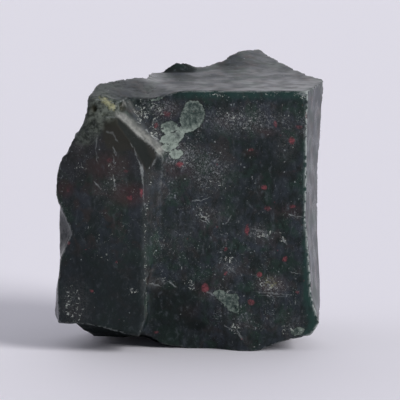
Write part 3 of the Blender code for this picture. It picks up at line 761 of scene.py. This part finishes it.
BODY_DRAWN = (1, 1, 0.6)  # shares that the place shrinks to, which draws what is there out upwards
LONG_DRAWN = (1.0, 1.0, 0.28)
LONG_LEAN = 48  # degrees that the long grains lean
GRAIN_LEVEL = (-0.235, 0.69)  # the noise's level that grains rise above: its slope over density, and start
GRAIN_STEP = 0.11  # from that level to whole grains
CHIP_LEVEL = (-0.195, 0.738)  # the same for chips, over the flecks
CHIP_STEP = 0.045
RED_STRENGTH = 0.85
STONE_IOR = 1.54
STONE_SPECULAR = 0.22
ROUGHEST = 0.8
BUMP_STRENGTH = 0.5
BUMP_DISTANCE = 0.06  # millimetres


def shared_inputs(s):
    """What the layers of colour share: the place in millimetres, ragged copies of its X and Z, and masks.

    A layer also leaves here what a later one uses.
    """
    at = SimpleNamespace()
    coordinates = s.tree.nodes.new("ShaderNodeTexCoord").outputs
    at.place = s.vector_math("SCALE", coordinates["Object"], 1 / MM)
    at.z = s.split(at.place)[2]
    at.front = s.field("front")
    at.lobe = s.field("lobe")
    at.crusty = s.field("crusty")
    at.olive = s.field("olive")
    at.flat_front = s.most(at.front, at.lobe)
    at.ragged_x, _, at.ragged_z = s.split(s.warped(at.place, *RAGGED))
    at.drawn = s.vector_math("MULTIPLY", at.place, BODY_DRAWN)
    return at


def body_layer(s, at):
    """Dark greens and blue-greys that run into each other, with brown and green clouds."""
    cloud = s.noise(at.drawn, *BODY_CLOUDS)
    colour = s.mix(s.ramp(cloud, 0.40, 0.62), *BODY)
    cloud = s.noise(s.shifted(at.place, BROWN_SHIFT), *BROWN_CLOUDS)
    brown = s.times(s.ramp(cloud, 0.50, 0.64, 0, 0.9), s.flip(s.times(at.front, 0.45)))
    colour = s.mix(brown, colour, BROWN_CLOUD)
    at.cloud = s.noise(s.shifted(at.place, GREEN_SHIFT), *GREEN_CLOUDS)
    return s.mix(s.ramp(at.cloud, 0.50, 0.62, 0, 0.85), colour, GREEN_CLOUD)


def place_layer(s, at, colour):
    """The lobe is browner above and nearly black below, and its dome is plain olive. Breaks are pale, and
    painted light lifts the left notch and the lobe's rim. Painted shade darkens the stone under the lobe,
    the dome's right flank, the undercut beside the lobe and the hollow at the foot.
    """
    colour = s.mix(s.times(at.lobe, s.ramp(at.z, 20, 31, 0.1, 0.6)), colour, UPPER_LOBE)
    colour = s.mix(s.times(at.lobe, s.ramp(at.z, 24, 10, 0.1, 0.75)), colour, LOWER_LOBE)
    colour = s.mix(s.times(s.field("rust"), 0.8), colour, RUSTY)
    colour = s.mix(s.times(at.olive, 0.9), colour, OLIVE)
    # Painted shade, with the darker places and the lump.
    colour = s.mix(s.times(s.field("dark"), 0.8), colour, DARK_TONE_AND_PAINTED_SHADE)
    # Pale breaks, with painted light on the notch and the rim.
    return s.mix(s.field("pale"), colour, s.mix(s.ramp(at.cloud, 0.4, 0.6), *PALE_BREAK_AND_PAINTED_LIGHT))


def band_layer(s, at, colour):
    """A clearer green band along the crisp top and right edges of the front face: painted light, the glow of
    light through the thin translucent edges.
    """
    at.band = s.times(s.field("band"), s.ramp(s.noise(at.place, *BAND_CLOUDS), 0.3, 0.55, 0.55, 1.0))
    return s.mix(s.times(at.band, 0.85), colour, PAINTED_EDGE_GLOW)


def mottle_layer(s, at, colour):
    """Darker and paler blotches well under a millimetre across, fewer on the dome, the band and the lobe."""
    mottle = s.noise(at.drawn, *MOTTLE)
    share = s.flip(s.times(s.most(at.olive, at.band), 0.8))
    share = s.times(share, s.flip(s.times(at.lobe, 0.35)))
    colour = s.mix(s.times(share, s.ramp(mottle, 0.50, 0.34, 0, 0.8)), colour, DARK_MOTTLE)
    return s.mix(s.times(share, s.ramp(mottle, 0.52, 0.72, 0, 0.6)), colour, PALE_MOTTLE)


def grain_density(s, at):
    """How thick the grains lie: mostly in patches and powdery places of the front.

    There are fewer off the front and low on the lobe, and hardly any where the stone is clear or dark.
    """
    at.powder = s.field("powder")
    patchy = s.ramp(s.noise(s.shifted(at.place, PATCHY_SHIFT), *GRAINY_PATCHES), 0.34, 0.66, 0.10, 0.60)
    clear = s.most(at.band, at.olive, s.times(at.front, s.ramp(at.z, 5, 2, 0, 0.6)))
    density = s.times(s.most(patchy, at.powder), s.flip(s.times(s.most(clear, s.field("dark")), 0.9)))
    off_front = s.line(at.flat_front, 0.6, 0.4)
    low_on_lobe = s.times(at.lobe, s.ramp(at.z, 20, 13, 0.2, 0.6))
    return s.times(density, off_front, s.flip(low_on_lobe))


def grain_layer(s, at, colour):
    """A stipple of fine noise, with a few brighter grains, some round and some long and leaning."""
    density = grain_density(s, at)
    least = s.line(density, *GRAIN_LEVEL)
    stipple = s.noise(at.place, *STIPPLE)
    grains = s.ramp(stipple, least, s.add(least, GRAIN_STEP), 0.0, 0.9)
    fine = s.warped(at.place, *GRAIN_WARP)
    grain, light = s.specks(fine, *ROUND_GRAINS, s.times(density, 0.28))
    grains = s.most(grains, s.times(grain, s.line(light, 0.85, 0.05)))
    leaning = s.tree.nodes.new("ShaderNodeMapping")
    s.put(leaning.inputs["Vector"], fine)
    s.put(leaning.inputs["Rotation"], (0, math.radians(LONG_LEAN), 0))
    s.put(leaning.inputs["Scale"], LONG_DRAWN)
    grain, light = s.specks(leaning.outputs[0], *LONG_GRAINS, s.times(density, 0.5))
    at.grains = s.most(grains, s.times(grain, s.line(light, 0.55, 0.15)))
    grain_colour = s.mix(s.noise(s.shifted(at.place, GRAIN_SHIFT), *GRAIN_HUES), *GRAIN)
    colour = s.mix(s.times(at.grains, 0.8), colour, grain_colour)
    return s.mix(s.times(at.powder, s.ramp(stipple, 0.38, 0.60, 0.0, 0.55)), colour, DUSTY)


def stroke_layer(s, at, colour):
    """Thin pale scratches and slivers, broken up by noise."""
    strokes = 0.0
    for x0, z0, x1, z1, radius, strength in PALE_STROKES:
        stroke = s.stroke(at.ragged_x, at.ragged_z, (x0, z0), (x1, z1), radius, strength)
        strokes = s.most(strokes, stroke)
    broken = s.ramp(s.noise(at.place, *STROKE_BREAKS), 0.30, 0.55, 0.35, 1.0)
    return s.mix(s.times(strokes, at.flat_front, broken, 0.7), colour, STROKE)


def flake_layer(s, at, colour):
    """Pale feathery flakes with scalloped outlines, each with a dark line of painted shadow round it."""
    scalloped = s.line(s.noise(at.place, *SCALLOPS), 0.9, s.field("flake"))
    at.flakes = s.ramp(scalloped, 0.36, 0.48)
    feather = s.noise(at.place, *FEATHERS)
    feather = s.add(feather, s.ramp(at.z, 35.2, 33.2, 0.0, 0.16), s.ramp(at.z, 20, 8, 0.0, -0.17))
    feather = s.add(feather, s.ramp(scalloped, 0.95, 0.45, -0.02, 0.05))
    flake_colour = s.mix(s.ramp(feather, 0.37, 0.84), *FLAKE)
    # Painted shadow round each flake.
    colour = s.mix(s.ramp(scalloped, 0.16, 0.34, 0.0, 0.55), colour, FLAKE_PAINTED_SHADOW)
    return s.mix(s.times(at.flakes, 0.92), colour, flake_colour)


def chip_layer(s, at, colour):
    """Small bright chips, thickest where the flecks are."""
    least = s.line(s.field("flecks"), *CHIP_LEVEL)
    chips = s.noise(s.shifted(at.place, CHIP_SHIFT), *CHIPS)
    return s.mix(s.ramp(chips, least, s.add(least, CHIP_STEP), 0.0, 0.85), colour, BRIGHT_CHIP)


def red_layer(s, at, colour):
    """Red spots: those placed on the front, some at random on the rest, and small dim ones everywhere."""
    reds = 0.0
    for at_x, at_z, half_width, half_height, strength in RED_SPOTS:
        middle, half = (at_x, at_z), (half_width, half_height)
        reds = s.most(reds, s.mark(at.ragged_x, at.ragged_z, middle, half, strength * RED_STRENGTH))
    reds = s.times(reds, at.flat_front)
    spot, light = s.specks(s.warped(s.shifted(at.place, RED_SHIFT), *RED_WARP), *RED_SPECKS, 0.35)
    reds = s.most(reds, s.times(spot, s.flip(at.flat_front), s.line(light, 0.6, 0.3)))
    place = s.warped(s.shifted(at.place, SMALL_RED_SHIFT), *SMALL_RED_WARP)
    spot, light = s.specks(place, *SMALL_RED_SPECKS, 0.22)
    reds = s.most(reds, s.times(spot, light, 0.6))
    return s.mix(reds, colour, s.mix(s.ramp(s.noise(at.place, *RED_HUES), 0.36, 0.60), *JASPER))


def crust_layer(s, at, colour):
    """The slanted band beside the dome, painted pale as painted light, and the crust on the top left corner
    with its dark pits.
    """
    pale = s.mix(s.ramp(s.noise(at.place, *BAND_STREAKS), 0.35, 0.68), *SLANT_PAINTED_LIGHT)
    colour = s.mix(s.times(s.field("slant"), 0.9), colour, pale)
    bumps = s.noise(at.place, *CRUST_BUMPS)
    crust_colour = s.mix(s.ramp(bumps, 0.38, 0.62), *CRUSTY)
    colour = s.mix(s.times(at.crusty, 0.9), colour, crust_colour)
    yellow = s.ramp(s.line(s.noise(at.place, *SCALLOPS), 1.5, s.field("yellow")), 1.15, 1.55)
    yellow_colour = s.mix(s.ramp(bumps, 0.36, 0.64), *YELLOWISH)
    colour = s.mix(s.times(yellow, 0.85), colour, yellow_colour)
    return s.mix(s.times(s.field("pits"), 0.9), colour, PIT)


def wear_layer(s, at, colour):
    """Worn, bruised edges are pale."""
    worn = s.times(s.field("wear"), s.ramp(s.noise(at.place, *WEAR_BREAKS), 0.38, 0.56))
    return s.mix(s.times(worn, 0.85), colour, BRUISED)


def stone_roughness(s, at):
    """Smoothest on the broken top and sides, and dull on the front, in dark places, powder and crust."""
    roughness = s.ramp(s.noise(at.place, *GLOSS_CLOUDS), 0.36, 0.64, 0.26, 0.38)
    roughness = s.add(roughness, s.times(s.field("dim"), 0.07), s.times(s.field("dark"), 0.4))
    front = s.times(at.flat_front, 0.16)
    powdery = s.times(s.most(at.grains, at.flakes, at.powder), 0.15)
    return s.math("MINIMUM", s.add(roughness, front, powdery, s.times(at.crusty, 0.2)), ROUGHEST)


def stone_bump(s, at):
    bump = s.tree.nodes.new("ShaderNodeBump")
    bump.inputs["Strength"].default_value = BUMP_STRENGTH
    bump.inputs["Distance"].default_value = BUMP_DISTANCE * MM
    fine = s.noise(at.place, *FINE_GRIT)
    grit = s.line(fine, 0.5, s.times(s.noise(at.place, *COARSE_GRIT), 0.8))
    s.put(bump.inputs["Height"], s.times(grit, s.field("grit")))
    return bump.outputs[0]


# What lies over the body's colour, the lowest first.
LAYERS = (
    place_layer, band_layer, mottle_layer, grain_layer, stroke_layer,
    flake_layer, chip_layer, red_layer, crust_layer, wear_layer,
)  # fmt: skip


def stone_material():
    material, s, shader = new_material("bloodstone_fine")
    at = shared_inputs(s)
    colour = body_layer(s, at)
    for layer in LAYERS:
        colour = layer(s, at, colour)
    s.put(shader["Base Color"], colour)
    s.put(shader["Roughness"], stone_roughness(s, at))
    shader["IOR"].default_value = STONE_IOR
    shader["Specular IOR Level"].default_value = STONE_SPECULAR
    s.put(shader["Normal"], stone_bump(s, at))
    return material


# ---------------------------------------------------------------- the stone
stone = bpy.data.objects.new("stone", build_surface(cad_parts["bloodstone"]))
bpy.context.scene.collection.objects.link(stone)
stone.data.materials.clear()
stone.data.materials.append(stone_material())
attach(stone, "root")
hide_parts("bloodstone")

# ---------------------------------------------------------------- floor, light and camera
FLOOR_COLOUR = (0.855, 0.84, 0.915)
FLOOR_ROUGHNESS = 0.75
FLOOR_HALF = 6.0  # metres
FRONT_GLOW = (0.070, 0.080, 0.092)  # what surrounds the stone on the camera's side
BACK_GLOW = (1.08, 1.07, 1.14)
TOP_GLOW = (0.28, 0.28, 0.295)
BACK_LEAN = 0.35  # how much further forward the bright back reaches higher up
BACK_EDGE = (-0.45, 0.55)  # over which the front's glow turns into the back's
TOP_EDGE = (0.35, 1.0)  # over which these turn into the top's
KEY_STRENGTH = 2.35
KEY_COLOUR = (1.0, 0.985, 0.97)
KEY_SPREAD = 30  # degrees across
KEY_FROM = (30, 30)  # degrees towards the camera from the right, and up
AIM = Vector((1.742, -13.113, 23.21))  # what the camera looks at, on the front face, in millimetres
CAMERA_RISE = 7.5  # degrees
CAMERA_DISTANCE = 0.3  # metres
NEAREST_SEEN = 0.01
FURTHEST_SEEN = 20
SENSOR_WIDTH = 36  # millimetres
LENS = 180


def floor_material():
    material, s, shader = new_material("pale_floor")
    s.put(shader["Base Color"], FLOOR_COLOUR)
    shader["Roughness"].default_value = FLOOR_ROUGHNESS
    return material


def make_floor():
    mesh = bpy.data.meshes.new("floor")
    corners = [(x * FLOOR_HALF, y * FLOOR_HALF, 0) for x, y in ((-1, -1), (1, -1), (1, 1), (-1, 1))]
    mesh.from_pydata(corners, [], [(0, 1, 2, 3)])
    mesh.materials.append(floor_material())
    floor = bpy.data.objects.new("floor", mesh)
    bpy.context.scene.collection.objects.link(floor)


def make_world():
    """Soft light all round, brighter from behind and above than from the camera's side."""
    world = bpy.data.worlds.new("studio")
    bpy.context.scene.world = world
    world.use_nodes = True
    w = Nodes(world.node_tree)
    direction = w.tree.nodes.new("ShaderNodeTexCoord").outputs["Generated"]
    _, back, up = w.split(direction)
    behind = w.ramp(w.add(back, w.times(up, BACK_LEAN)), *BACK_EDGE)
    sky = w.mix(behind, FRONT_GLOW, BACK_GLOW)
    sky = w.mix(w.ramp(up, *TOP_EDGE), sky, TOP_GLOW)
    background = w.tree.nodes["Background"]
    w.put(background.inputs["Color"], sky)
    background.inputs["Strength"].default_value = 1.0


def make_key():
    """The main soft light: far off to the right, a little towards the camera."""
    light = bpy.data.lights.new("key", "SUN")
    light.energy = KEY_STRENGTH
    light.angle = math.radians(KEY_SPREAD)
    light.color = KEY_COLOUR
    key = bpy.data.objects.new("key", light)
    az, el = math.radians(KEY_FROM[0]), math.radians(KEY_FROM[1])
    towards = Vector((math.cos(az) * math.cos(el), -math.sin(az) * math.cos(el), math.sin(el)))
    key.rotation_euler = (-towards).to_track_quat("-Z", "Y").to_euler()
    bpy.context.scene.collection.objects.link(key)


def make_camera():
    camera = bpy.data.cameras.new("camera")
    camera.sensor_width = SENSOR_WIDTH
    camera.lens = LENS
    camera.clip_start = NEAREST_SEEN
    camera.clip_end = FURTHEST_SEEN
    made = bpy.data.objects.new("camera", camera)
    rise = math.radians(CAMERA_RISE)
    towards = Vector((0, -math.cos(rise), math.sin(rise)))
    made.location = AIM * MM + towards * CAMERA_DISTANCE
    made.rotation_euler = (-towards).to_track_quat("-Z", "Y").to_euler()
    bpy.context.scene.collection.objects.link(made)
    bpy.context.scene.camera = made


make_floor()
make_world()
make_key()
make_camera()
bpy.context.scene.view_settings.view_transform = "Standard"
